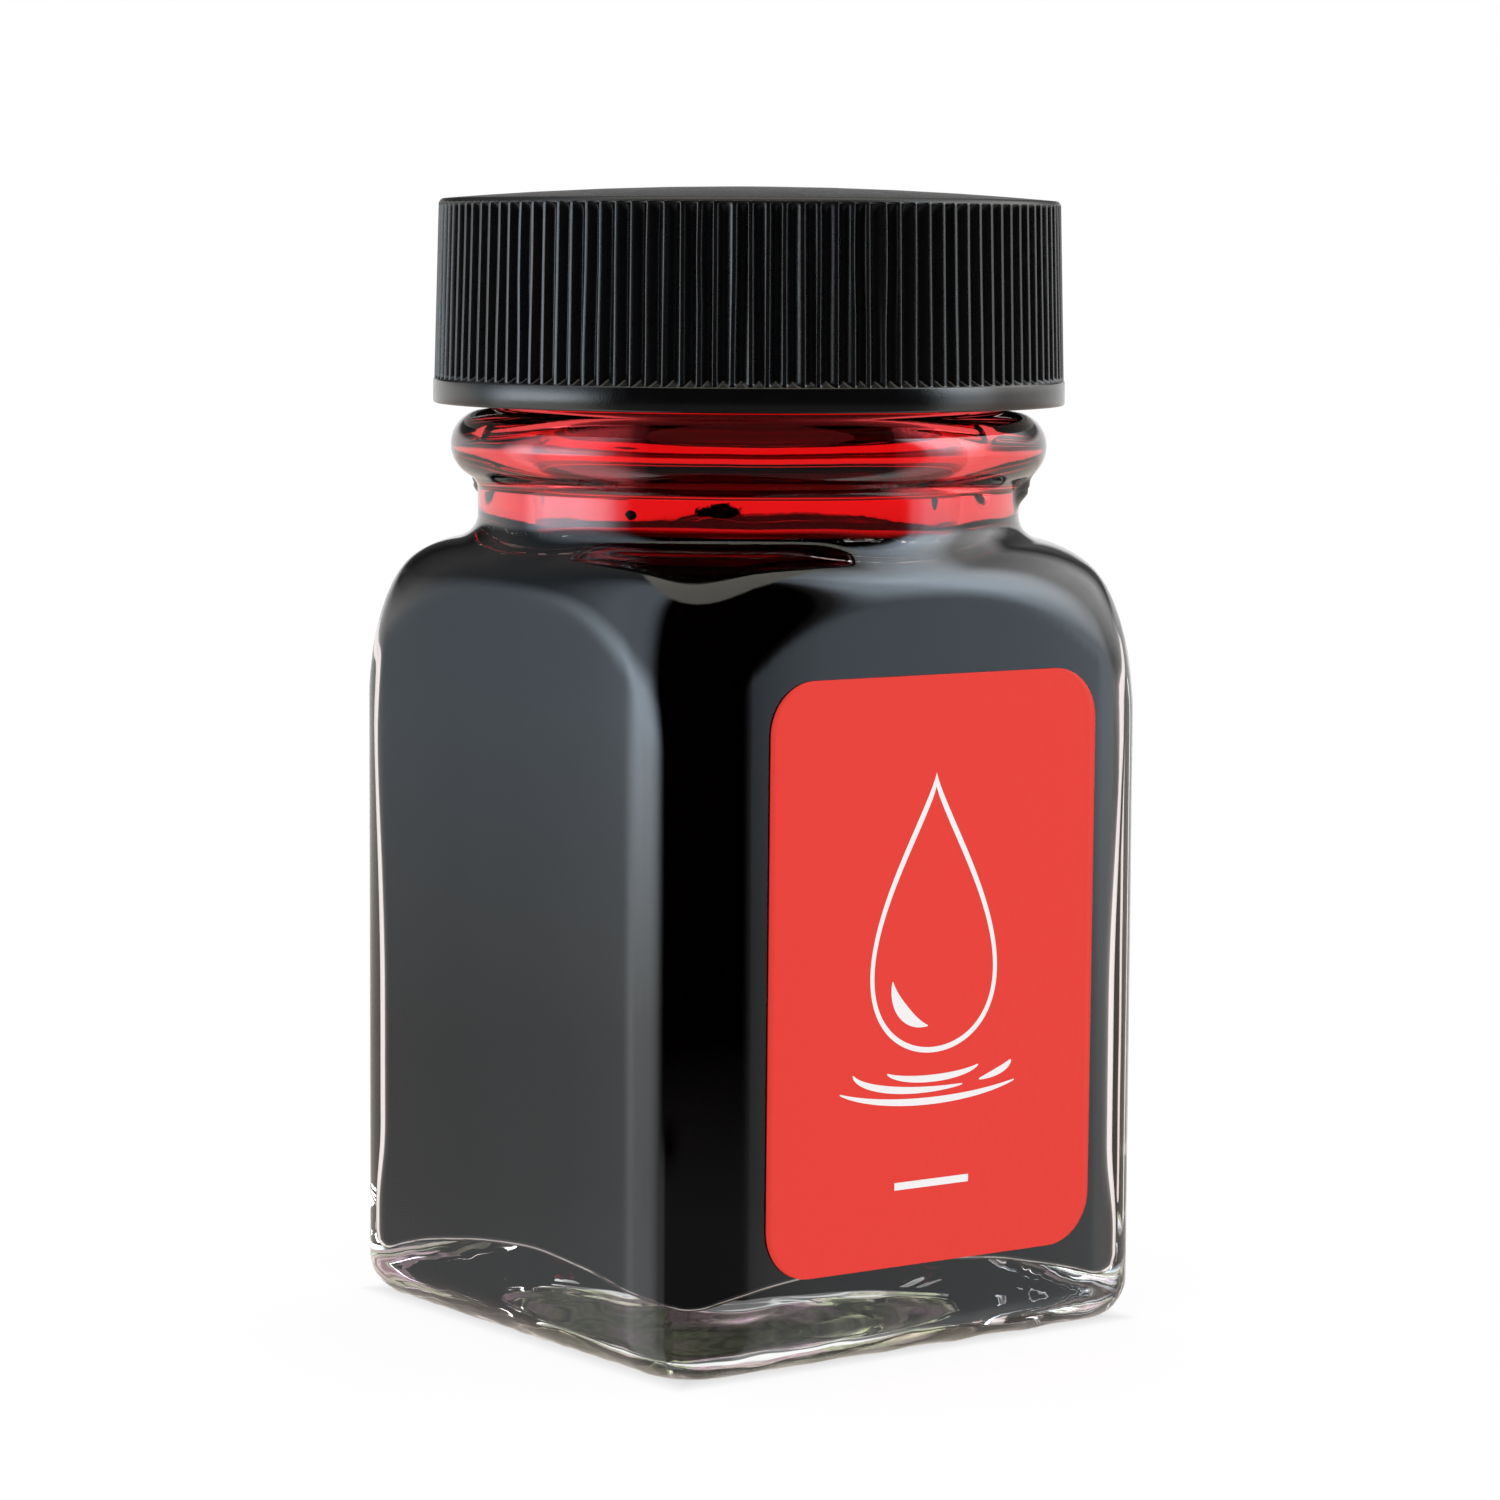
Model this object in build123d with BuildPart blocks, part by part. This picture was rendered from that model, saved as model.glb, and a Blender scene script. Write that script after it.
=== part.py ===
from build123d import *
import os
from math import cos, radians, sin, sqrt

# Square glass ink bottle: a thick-walled bottle with a threaded neck, the ink inside it, a paper
# label on its front, and a ribbed screw cap with a loose foam liner.
# Millimetres, +Z up. The origin is the centre of the base, on the table. The label faces -Y.

# ---- glass body: a square prism ------------------------------------------------------------------
BODY_SIDE = 34.0  # across the flats
CORNER_R = 4.1  # vertical corners, outside
BASE_EDGE_R = 2.4  # edge between the walls and the base
WALL = 1.8  # glass thickness in the middle of a flat
INNER_CORNER_R = 2.8  # vertical corners of the cavity
PUNT_R = 12.5  # round recess under the base
PUNT_DEPTH = 1.3
FLOOR_TOP_Z = 6.1  # highest point of the domed glass floor inside
FLOOR_DOME_R = 90.0  # its spherical radius
FLOOR_EDGE_R = 1.0  # rounding where the walls of the cavity meet the floor

# ---- shoulder: a surface of revolution that trims the prism ---------------------------------------
SHOULDER_Z = 37.4  # height where the round profile leaves the vertical
SHOULDER_R = 7.55  # radius of the profile
SHOULDER_REACH = 22.7  # how far out the profile starts, just past the vertical corners
SHOULDER_EDGE_R = 0.9  # rounding of the arched edges where the shoulder meets the flats
INNER_SHOULDER_R = 6.2
INNER_SHOULDER_REACH = 20.7

# ---- neck and 33 mm continuous-thread finish -------------------------------------------------------
NECK_R = 15.55
NECK_BASE_Z = 45.9  # where the shoulder has run out into the neck
NECK_FILLET_R = 0.6
BORE_R = 12.4
BEAD_R = 17.1  # round bead below the cap
BEAD_BOTTOM_Z = 48.2
BEAD_TOP_Z = 52.1
FINISH_R = 14.75  # plain wall under the thread
FINISH_TOP_Z = 62.3
RIM_EDGE_R = 0.7  # rounding of the mouth's rim
NUB_REACH = 0.9  # small mould nubs under the bead, on two opposite corners
NUB_Z = 47.65
NUB_WIDTH = 1.2
NUB_HEIGHT = 1.25

# ---- right-hand screw thread -----------------------------------------------------------------------
THREAD_PITCH = 25.4 / 8  # 8 threads per inch
THREAD_TURNS = 1.25
THREAD_EMBED = 0.25  # how deep a thread's root runs into its wall
GLASS_THREAD_R = 16.0  # crest
GLASS_THREAD_ROOT = 2.1
GLASS_THREAD_CREST = 0.9
GLASS_THREAD_Z = 55.9  # middle of the thread at its lower end
CAP_THREAD_R = 15.15  # crest
CAP_THREAD_ROOT = 1.45
CAP_THREAD_CREST = 0.6
CAP_THREAD_DROP = 1.3  # how far the cap's thread lies below the glass thread, to clear its flank

# ---- screw cap ---------------------------------------------------------------------------------------
CAP_BOTTOM_Z = 52.5
CAP_CEILING_Z = 63.4
CAP_TOP_Z = 64.85
CAP_INNER_R = 16.25
CAP_MOUTH_CHAMFER = 0.3
BAND_R = 18.1  # plain band along the lower edge
BAND_TOP_Z = 53.9
CAP_RIM_R = 17.55  # edge of the domed top
CAP_RIM_Z = 63.95
RIB_COUNT = 120
RIB_FOOT_R = 18.02  # crests at the band
RIB_HEAD_R = 17.76  # crests at the top: the skirt tapers
RIB_TOP_Z = 63.75
GROOVE_DEPTH = 0.45
GROOVE_RUN_OUT = 0.55  # height of a groove's sloped ends
CREST_SHARE = 0.22  # flat crest, as a share of the pitch between ribs
VALLEY_SHARE = 0.12  # flat bottom of a groove

# ---- liner, ink and label ------------------------------------------------------------------------------
LINER_R = 15.95
LINER_THICKNESS = 1.0
LINER_GAP = 0.05  # clearance above and below the liner
INK_LEVEL_Z = 44.5
LABEL_WIDTH = 22.7
LABEL_HEIGHT = 32.8
LABEL_CORNER_R = 2.7
LABEL_THICKNESS = 0.12
LABEL_CENTRE = (0.4, 21.7)  # across and up on the front flat
LABEL_TILT = -0.3  # degrees; it is stuck on a little askew

INNER_SIDE = BODY_SIDE - 2 * WALL
PRISM_TOP_Z = NECK_BASE_Z + 1  # the prism and the cavity run up into the neck


def envelope_outline(reach, arc_r, neck_r):
    """Half profile of a straight-sided envelope whose round shoulder runs out into a neck."""
    centre_r = reach - arc_r
    # The concave fillet touches both the shoulder's arc and the neck's wall.
    fillet_r = neck_r + NECK_FILLET_R
    fillet_z = SHOULDER_Z + sqrt((arc_r + NECK_FILLET_R) ** 2 - (fillet_r - centre_r) ** 2)
    share = arc_r / (arc_r + NECK_FILLET_R)
    touch_r = centre_r + (fillet_r - centre_r) * share
    touch_z = SHOULDER_Z + (fillet_z - SHOULDER_Z) * share
    side = Polyline((0, 0), (reach, 0), (reach, SHOULDER_Z))
    shoulder = RadiusArc(side @ 1, (touch_r, touch_z), -arc_r)
    blend = RadiusArc(shoulder @ 1, (neck_r, fillet_z), NECK_FILLET_R)
    Polyline(blend @ 1, (neck_r, PRISM_TOP_Z), (0, PRISM_TOP_Z), side @ 0)


def helical_thread(wall_r, crest_r, root_width, crest_width, start_z):
    """Trapezoidal thread swept along a right-hand helix, on the outside or inside of a wall."""
    root_r = wall_r - THREAD_EMBED if crest_r > wall_r else wall_r + THREAD_EMBED
    depth = crest_r - root_r
    with BuildPart() as thread:
        with BuildLine(Plane.XY.offset(start_z)):
            path = Helix(THREAD_PITCH, THREAD_PITCH * THREAD_TURNS, root_r)
        with BuildSketch(Plane(origin=path @ 0, x_dir=(1, 0, 0), z_dir=path % 0)):
            with BuildLine():
                Polyline(
                    (0, -root_width / 2),
                    (depth, -crest_width / 2),
                    (depth, crest_width / 2),
                    (0, root_width / 2),
                    close=True,
                )
            make_face()
        sweep(path=path, is_frenet=True)
    return thread.part


def ribbed_outline(crest_r, depth):
    """Closed outline round the skirt: flat crests with V-shaped grooves between them."""
    step = radians(360 / RIB_COUNT)
    points = []
    for rib in range(RIB_COUNT):
        for middle, share, radius in (
            (rib, CREST_SHARE, crest_r),
            (rib + 0.5, VALLEY_SHARE, crest_r - depth),
        ):
            for side in (-0.5, 0.5):
                angle = (middle + side * share) * step
                points.append((radius * cos(angle), radius * sin(angle)))
    Polyline(*points, close=True)


# ==== cavity: the space inside the body, taken out of the glass and filled by the ink ===================
with BuildPart() as cavity:
    with BuildSketch():
        RectangleRounded(INNER_SIDE, INNER_SIDE, INNER_CORNER_R)
    extrude(amount=PRISM_TOP_Z)
    with BuildSketch(Plane.XZ):
        with BuildLine():
            envelope_outline(INNER_SHOULDER_REACH, INNER_SHOULDER_R, BORE_R)
        make_face()
    revolve(axis=Axis.Z, mode=Mode.INTERSECT)
    # The glass floor is a shallow dome, highest in the middle.
    with Locations((0, 0, FLOOR_TOP_Z - FLOOR_DOME_R)):
        Sphere(FLOOR_DOME_R, rotation=(90, 0, 0), mode=Mode.SUBTRACT)
    floor_edges = cavity.edges().filter_by(GeomType.LINE, reverse=True)
    fillet(floor_edges.filter_by_position(Axis.Z, 0, FLOOR_TOP_Z), FLOOR_EDGE_R)

glass_thread = helical_thread(
    FINISH_R, GLASS_THREAD_R, GLASS_THREAD_ROOT, GLASS_THREAD_CREST, GLASS_THREAD_Z
)
cap_thread = helical_thread(
    CAP_INNER_R, CAP_THREAD_R, CAP_THREAD_ROOT, CAP_THREAD_CREST, GLASS_THREAD_Z - CAP_THREAD_DROP
)

# ==== glass bottle =======================================================================================
with BuildPart() as glass_bottle:
    # Square body, with its shoulder trimmed to a surface of revolution.
    with BuildSketch():
        RectangleRounded(BODY_SIDE, BODY_SIDE, CORNER_R)
    extrude(amount=PRISM_TOP_Z)
    fillet(glass_bottle.faces().sort_by(Axis.Z)[0].edges(), BASE_EDGE_R)
    with BuildSketch(Plane.XZ):
        with BuildLine():
            envelope_outline(SHOULDER_REACH, SHOULDER_R, NECK_R)
        make_face()
    revolve(axis=Axis.Z, mode=Mode.INTERSECT)
    fillet(glass_bottle.edges().filter_by(GeomType.BSPLINE), SHOULDER_EDGE_R)
    # Neck, bead and the plain wall under the thread.
    with BuildSketch(Plane.XZ):
        with BuildLine():
            neck = Polyline((0, NECK_BASE_Z), (NECK_R, NECK_BASE_Z), (NECK_R, BEAD_BOTTOM_Z))
            bead_crest = (BEAD_R, (BEAD_BOTTOM_Z + BEAD_TOP_Z) / 2)
            bead = ThreePointArc(neck @ 1, bead_crest, (FINISH_R, BEAD_TOP_Z))
            Polyline(bead @ 1, (FINISH_R, FINISH_TOP_Z), (0, FINISH_TOP_Z), neck @ 0)
        make_face()
    revolve(axis=Axis.Z)
    with Locations((0, 0, NUB_Z)):
        with PolarLocations(NECK_R, 2, start_angle=-45):
            Box(2 * NUB_REACH, NUB_WIDTH, NUB_HEIGHT)
    # Bore of the neck, and the rounded rim of the mouth.
    with Locations((0, 0, NECK_BASE_Z)):
        Cylinder(
            BORE_R,
            FINISH_TOP_Z - NECK_BASE_Z,
            align=(Align.CENTER, Align.CENTER, Align.MIN),
            mode=Mode.SUBTRACT,
        )
    fillet(glass_bottle.faces().sort_by(Axis.Z)[-1].edges(), RIM_EDGE_R)
    add(glass_thread)
    add(cavity.part, mode=Mode.SUBTRACT)
    # Round recess under the base: the bottle stands on the flat around it.
    punt_sphere_r = (PUNT_R**2 + PUNT_DEPTH**2) / (2 * PUNT_DEPTH)
    with Locations((0, 0, PUNT_DEPTH - punt_sphere_r)):
        Sphere(punt_sphere_r, rotation=(90, 0, 0), mode=Mode.SUBTRACT)

# ==== ink: fills the cavity to just below the neck ========================================================
with BuildPart() as ink:
    add(cavity.part)
    split(bisect_by=Plane.XY.offset(INK_LEVEL_Z), keep=Keep.BOTTOM)

# ==== front label: a paper sheet on the -Y flat =============================================================
with BuildPart() as front_label:
    with BuildSketch(Plane.XZ.offset(BODY_SIDE / 2)):
        with Locations(LABEL_CENTRE):
            RectangleRounded(LABEL_WIDTH, LABEL_HEIGHT, LABEL_CORNER_R, rotation=LABEL_TILT)
    extrude(amount=LABEL_THICKNESS)

# ==== cap liner: a foam disc between the cap and the rim of the mouth ========================================
with BuildPart() as cap_liner:
    with BuildSketch(Plane.XY.offset(CAP_CEILING_Z - LINER_GAP)):
        Circle(LINER_R)
    extrude(amount=-LINER_THICKNESS)

# ==== screw cap ================================================================================================
with BuildPart() as screw_cap:
    # Ribbed skirt: the grooves start and end in short slopes.
    for z, crest_r, depth in (
        (BAND_TOP_Z, RIB_FOOT_R, 0),
        (BAND_TOP_Z + GROOVE_RUN_OUT, RIB_FOOT_R, GROOVE_DEPTH),
        (RIB_TOP_Z - GROOVE_RUN_OUT, RIB_HEAD_R, GROOVE_DEPTH),
        (RIB_TOP_Z, CAP_RIM_R, 0),
    ):
        with BuildSketch(Plane.XY.offset(z)):
            with BuildLine():
                ribbed_outline(crest_r, depth)
            make_face()
    loft(ruled=True)
    # Plain band below the ribs, and the domed top above them.
    with BuildSketch(Plane.XY.offset(CAP_BOTTOM_Z)):
        Circle(BAND_R)
    extrude(amount=BAND_TOP_Z - CAP_BOTTOM_Z)
    with BuildSketch(Plane.XZ):
        with BuildLine():
            side = Polyline((0, CAP_CEILING_Z), (CAP_RIM_R, CAP_CEILING_Z), (CAP_RIM_R, CAP_RIM_Z))
            crown = TangentArc((0, CAP_TOP_Z), side @ 1, tangent=(1, 0))
            Line(crown @ 0, side @ 0)
        make_face()
    revolve(axis=Axis.Z)
    # Hollow for the neck and the liner, with the thread inside it.
    with BuildSketch(Plane.XY.offset(CAP_BOTTOM_Z)):
        Circle(CAP_INNER_R)
    extrude(amount=CAP_CEILING_Z - CAP_BOTTOM_Z, mode=Mode.SUBTRACT)
    chamfer(screw_cap.faces().sort_by(Axis.Z)[0].edges().sort_by(SortBy.RADIUS)[0], CAP_MOUTH_CHAMFER)
    add(cap_thread)

pieces = {
    "glass_bottle": glass_bottle,
    "ink": ink,
    "front_label": front_label,
    "cap_liner": cap_liner,
    "screw_cap": screw_cap,
}
os.makedirs("parts", exist_ok=True)
for name, piece in pieces.items():
    piece.part.label = name
    export_step(piece.part, f"parts/{name}.step")
    print(f"{name}: {piece.part.volume / 1000:.2f} ml, {len(piece.part.solids())} solid")
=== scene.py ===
import math

import bmesh
import bpy
import numpy as np
from mathutils import Matrix, Vector


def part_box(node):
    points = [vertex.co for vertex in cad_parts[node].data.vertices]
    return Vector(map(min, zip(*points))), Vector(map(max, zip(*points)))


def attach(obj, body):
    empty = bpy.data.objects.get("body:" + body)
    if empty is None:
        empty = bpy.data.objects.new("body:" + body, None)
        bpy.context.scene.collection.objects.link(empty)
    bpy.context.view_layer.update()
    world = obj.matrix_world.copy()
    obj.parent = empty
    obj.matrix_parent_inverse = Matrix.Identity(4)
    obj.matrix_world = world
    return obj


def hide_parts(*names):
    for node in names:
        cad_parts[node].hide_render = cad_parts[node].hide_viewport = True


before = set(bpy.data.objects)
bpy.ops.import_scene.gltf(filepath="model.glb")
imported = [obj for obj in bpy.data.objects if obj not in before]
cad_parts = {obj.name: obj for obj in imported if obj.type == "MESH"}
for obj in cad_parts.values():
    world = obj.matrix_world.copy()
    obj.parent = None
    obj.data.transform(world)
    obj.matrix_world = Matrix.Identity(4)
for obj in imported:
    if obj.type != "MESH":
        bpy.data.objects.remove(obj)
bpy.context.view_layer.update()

# Looks for the square glass ink bottle. Shapes are worked out in millimetres, in the frame's axes.
MM = 0.001
rng = np.random.default_rng(11)

_, GLASS_HIGH = (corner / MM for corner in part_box("glass_bottle"))
LABEL_LOW, LABEL_HIGH = (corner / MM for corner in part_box("front_label"))
LINER_LOW, LINER_HIGH = (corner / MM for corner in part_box("cap_liner"))
CAP_LOW, CAP_HIGH = (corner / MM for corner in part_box("screw_cap"))

# Glass body
HALF = -LABEL_HIGH.y  # the flats lie this far out
CORNER_R = 4.96
CORNER_POWER = 2.5
FLAT_CROWN = 0.08  # the flats fall back this far towards the corners
FLAT_WAVES = 0.004  # height of the slow waves in the flats
FLAT_STEPS = 36  # mesh columns along each flat
CORNER_STEPS = 24  # mesh columns round each corner
BASE_EDGE_R = 2.2
SHOULDER_Z = 37.4
SHOULDER_R = 7.55
SHOULDER_REACH = 22.7
SHOULDER_EDGE_R = 2.5
PUNT_R = 12.5
PUNT_DEPTH = 1.3
SEAM_ANGLE = math.radians(43.3)  # the mould's parting plane stands at this angle round Z
SEAM_WIDTH = 0.12
SEAM_HEIGHT = 0.05
SEAM_TOP_Z = 13.7
FOOT_UNEVENNESS = 0.06  # the foot and its recess are this rough

# Neck, bead, thread and mouth
NECK_R = 15.55
NECK_FILLET_R = 1.2
NECK_TOP_Z = 46.5  # the rows of the shoulder end here
BORE_R = 12.4
BEAD_CENTRE_R = 15.11
BEAD_CENTRE_Z = 50.14
BEAD_R = 1.99
FINISH_R = 14.75
FINISH_TOP_Z = GLASS_HIGH.z
RIM_R = 0.7
NUB_REACH = 0.6
NUB_Z = 47.65
THREAD_PITCH = 3.175
THREAD_TURNS = 1.25
GLASS_THREAD_Z = 55.9
GLASS_THREAD_DEPTH = 1.25
CAP_THREAD_Z = 54.6
CAP_THREAD_DEPTH = 1.1

# Cavity and ink
WALL = 1.8
INNER_CORNER_R = 2.9
INNER_SHOULDER_R = 6.2
INNER_SHOULDER_REACH = 20.7
FLOOR_TOP_Z = 6.5
FLOOR_DOME_R = 50.0
FLOOR_TILT = 0.064  # the glass floor rises towards the front left corner
FLOOR_EDGE_R = 1.3
CAVITY_WAVES = 0.012
FLOOR_WAVES = 0.08
INK_OVERLAP = 0.03  # the ink runs this far into the glass, so no air shows between them
GLASS_IOR = 1.5
INK_TO_GLASS_IOR = 1.333 / GLASS_IOR
INK_LEVEL_Z = 44.5
WALLS_FOOT_Z = 9.0  # the cavity starts to curve in below this
UNDERSIDE_TILT = -0.86  # faces whose normals point further down than this rest on the glass floor
THICK_FILM_Z = 45.2  # below this the film left on the bore is too thick to see through
MENISCUS = 0.3
MENISCUS_REACH = 0.45
# Specks of dried ink on the bore: angle round Z in degrees, height, width and depth
DRIED_INK = (
    (227.5, 47.0, 2.6, 0.9),
    (205, 46.7, 0.7, 0.6),
    (283, 47.3, 0.5, 1.0),
    (95, 47.2, 2.0, 0.8),
)

# Cap
RIB_COUNT = 120
RIB_DEPTH = 0.45
RIB_FOOT = 0.38  # height of the slopes at the lower ends of the grooves
RIB_HEAD = 0.75  # height of the rounding at their upper ends
RIB_STRAY = 0.05  # most that a rib may stray, as a share of the step between ribs
BAND_R = CAP_HIGH.x
BAND_TOP_Z = 53.9
RIB_FOOT_R = 18.02
RIB_HEAD_R = 17.76
RIB_TOP_Z = 63.85
CAP_RIM_R = 17.45
CAP_RIM_Z = 64.1
CAP_TOP_Z = CAP_HIGH.z
CAP_INNER_R = 16.25
CAP_CEILING_Z = 63.4
CAP_LIP = 0.3  # bevel inside the cap's lower edge
CAP_INNER_STEPS = 240  # mesh columns inside the cap

# Liner
MOUTH_RING_R = 13.6  # the mouth has pressed a ring of this radius into the liner
MOUTH_RING_DEPTH = 0.06


# ---- shape helpers -------------------------------------------------------------------------------

def smoothstep(low, high, value):
    t = np.clip((value - low) / (high - low), 0, 1)
    return t * t * (3 - 2 * t)


def round_max(a, b, radius):
    """Intersection of two distance fields, its edge rounded."""
    edge = np.hypot(np.maximum(a + radius, 0), np.maximum(b + radius, 0)) - radius
    return edge + np.minimum(np.maximum(a, b) + radius, 0)


def round_min(a, b, radius):
    """Union of two distance fields, with a fillet between them."""
    return -round_max(-a, -b, radius)


def soft_square(p, half, corner, power):
    """Distance field of an endless square column. A power above 2 softens its corners into the flats."""
    side = np.abs(p[..., :2])
    q = np.maximum(side - np.expand_dims(half - corner, -1), 0)
    rounded = (q**power).sum(-1) ** (1 / power) - corner
    return np.where(q.max(-1) > 0, rounded, side.max(-1) - half)


def envelope(rho, z, reach, arc_r):
    """Distance field of the turned envelope that rounds the shoulder."""
    centre = reach - arc_r
    return np.hypot(np.maximum(rho - centre, 0), np.maximum(z - SHOULDER_Z, 0)) - arc_r


def ripple(p, length, seed):
    """Smooth uneven waves between about -1 and 1, as on moulded glass."""
    waves = np.random.default_rng(seed)
    total = np.zeros(p.shape[:-1])
    for _ in range(7):
        direction = waves.normal(size=3)
        direction /= np.linalg.norm(direction) * length * waves.uniform(0.6, 1.5)
        total += np.sin(2 * math.pi * (p @ direction) + waves.uniform(0, 2 * math.pi))
    return total / 4


def helix_height(angle, z, start_z, root, crest):
    """Height of a thread, from 0 to 1, at each angle and height; its two ends fade out."""
    turn = np.mod(angle / (2 * math.pi), 1)
    height = np.zeros(np.broadcast(angle, z).shape)
    for lap in range(2):
        along = turn + lap
        off = np.abs(z - start_z - THREAD_PITCH * along)
        flank = np.clip((root - off) / (root - crest), 0, 1)
        ends = smoothstep(0, 0.04, along) * smoothstep(0, 0.04, THREAD_TURNS - along)
        height = np.maximum(height, flank * ends)
    return height


def square_angles(half, corner, flat_steps, corner_steps):
    """Angles round Z, spaced evenly along the flats of a rounded square and closer round its corners."""
    reach = half - corner
    flat = np.arctan2(np.linspace(-reach, reach, flat_steps, endpoint=False), half)
    turn = np.linspace(0, math.pi / 2, corner_steps, endpoint=False)
    bend = np.arctan2(reach + corner * np.sin(turn), reach + corner * np.cos(turn))
    quarter = np.concatenate([flat, bend])
    return np.concatenate([quarter + side * math.pi / 2 for side in range(4)])


def polar(rho, angle, z):
    """Points from radii, angles and heights that broadcast to rows by columns."""
    rho, angle, z = np.broadcast_arrays(rho, angle, z)
    return np.stack([rho * np.cos(angle), rho * np.sin(angle), z], -1)


def cast(field, start_rho, start_z, tilt, angle, reach=30.0):
    """Rows of points where rays, one row for each tilt from the horizontal, leave a field's inside."""
    tilt = np.radians(np.asarray(tilt, float))[:, None]
    start = polar(start_rho, angle, start_z)
    step = polar(np.cos(tilt), angle[None, :], np.sin(tilt))
    low = np.zeros(step.shape[:2])
    high = np.full(step.shape[:2], reach)
    for _ in range(36):
        middle = (low + high) / 2
        inside = field(start + step * middle[..., None]) < 0
        low = np.where(inside, middle, low)
        high = np.where(inside, high, middle)
    return start + step * low[..., None]


def level_rows(field, heights, angle, start_rho=0.0):
    """Rows of points on a field's surface at given heights."""
    rows = [cast(field, start_rho, z, [0.0], angle) for z in heights]
    return np.concatenate(rows)


def turned(profile, angle):
    """Rows of points of a surface of revolution through (radius, height) pairs."""
    profile = np.asarray(profile, float)
    return polar(profile[:, 0, None], angle[None, :], profile[:, 1, None])


def arc_profile(centre_r, centre_z, radius, start, end, steps):
    """(radius, height) pairs along an arc, with angles in degrees from the outward direction."""
    turn = np.radians(np.linspace(start, end, steps))
    return np.stack([centre_r + radius * np.cos(turn), centre_z + radius * np.sin(turn)], -1)


# ---- mesh helpers --------------------------------------------------------------------------------

def grid_faces(rows, columns, first=0):
    """Quads of a tube of rows, closed round its columns."""
    row = np.arange(rows - 1)[:, None] * columns
    column = np.arange(columns)[None, :]
    following = (column + 1) % columns
    quads = np.stack(
        [row + column, row + following, row + columns + following, row + columns + column], -1
    )
    return (quads.reshape(-1, 4) + first).tolist()


def fan_faces(ring_start, columns, pole, inward):
    """Triangles between one ring of points and a pole."""
    faces = []
    for column in range(columns):
        a, b = ring_start + column, ring_start + (column + 1) % columns
        faces.append([b, a, pole] if inward else [a, b, pole])
    return faces


def make_object(name, points, faces, materials, face_slots=None):
    """Mesh object from points in millimetres, shaded smooth, its normals facing out."""
    mesh = bpy.data.meshes.new(name)
    mesh.from_pydata((np.asarray(points) * MM).tolist(), [], faces)
    for material in materials:
        mesh.materials.append(material)
    if face_slots is not None:
        mesh.polygons.foreach_set("material_index", face_slots)
    mesh.polygons.foreach_set("use_smooth", [True] * len(faces))
    bm = bmesh.new()
    bm.from_mesh(mesh)
    bmesh.ops.recalc_face_normals(bm, faces=bm.faces)
    bm.to_mesh(mesh)
    bm.free()
    obj = bpy.data.objects.new(name, mesh)
    bpy.context.scene.collection.objects.link(obj)
    return obj


def closed_tube(name, rows, first_pole, last_pole, materials, row_slots=None):
    """Closed surface from rows of points, with a pole at either end."""
    count, columns = rows.shape[:2]
    points = np.concatenate([rows.reshape(-1, 3), [first_pole, last_pole]])
    quads = grid_faces(count, columns)
    start = fan_faces(0, columns, count * columns, True)
    end = fan_faces((count - 1) * columns, columns, count * columns + 1, False)
    slots = None
    if row_slots is not None:
        slots = np.repeat(row_slots[:-1], columns).tolist()
        slots += [row_slots[0]] * columns + [row_slots[-1]] * columns
    return make_object(name, points, quads + start + end, materials, slots)


# ---- material helpers ----------------------------------------------------------------------------

def new_material(name):
    material = bpy.data.materials.new(name)
    material.use_nodes = True
    return material, material.node_tree, material.node_tree.nodes["Principled BSDF"]


def feed(tree, socket, value):
    """Link an output to a socket, or set the socket to a number, a vector or a colour."""
    if isinstance(value, bpy.types.NodeSocket):
        tree.links.new(value, socket)
    elif socket.type == "RGBA":
        socket.default_value = (*value, 1)
    else:
        socket.default_value = value


def math_node(tree, operation, *values):
    node = tree.nodes.new("ShaderNodeMath")
    node.operation = operation
    for socket, value in zip(node.inputs, values):
        feed(tree, socket, value)
    return node.outputs["Value"]


def vector_node(tree, operation, *values):
    node = tree.nodes.new("ShaderNodeVectorMath")
    node.operation = operation
    for socket, value in zip(node.inputs, values):
        feed(tree, socket, value)
    return node


def own_place(tree):
    """The object's own coordinates, in metres."""
    return tree.nodes.new("ShaderNodeTexCoord").outputs["Object"]


def split(tree, vector):
    node = tree.nodes.new("ShaderNodeSeparateXYZ")
    tree.links.new(vector, node.inputs["Vector"])
    return node.outputs


def noise(tree, scale, detail=4.0, roughness=0.55, stretch=(1, 1, 1)):
    """Noise over the object's own coordinates, in features per metre."""
    mapping = tree.nodes.new("ShaderNodeMapping")
    mapping.inputs["Scale"].default_value = stretch
    texture = tree.nodes.new("ShaderNodeTexNoise")
    texture.inputs["Scale"].default_value = scale
    texture.inputs["Detail"].default_value = detail
    texture.inputs["Roughness"].default_value = roughness
    tree.links.new(own_place(tree), mapping.inputs["Vector"])
    tree.links.new(mapping.outputs["Vector"], texture.inputs["Vector"])
    return texture.outputs["Fac"]


def remap(tree, value, low, high, to_low, to_high):
    node = tree.nodes.new("ShaderNodeMapRange")
    node.inputs["From Min"].default_value = low
    node.inputs["From Max"].default_value = high
    node.inputs["To Min"].default_value = to_low
    node.inputs["To Max"].default_value = to_high
    tree.links.new(value, node.inputs["Value"])
    return node.outputs["Result"]


def bump(tree, shader, height, depth, strength):
    """Bump of a height between 0 and 1, depth metres deep."""
    node = tree.nodes.new("ShaderNodeBump")
    node.inputs["Strength"].default_value = strength
    node.inputs["Distance"].default_value = depth
    tree.links.new(height, node.inputs["Height"])
    tree.links.new(node.outputs["Normal"], shader.inputs["Normal"])


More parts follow.
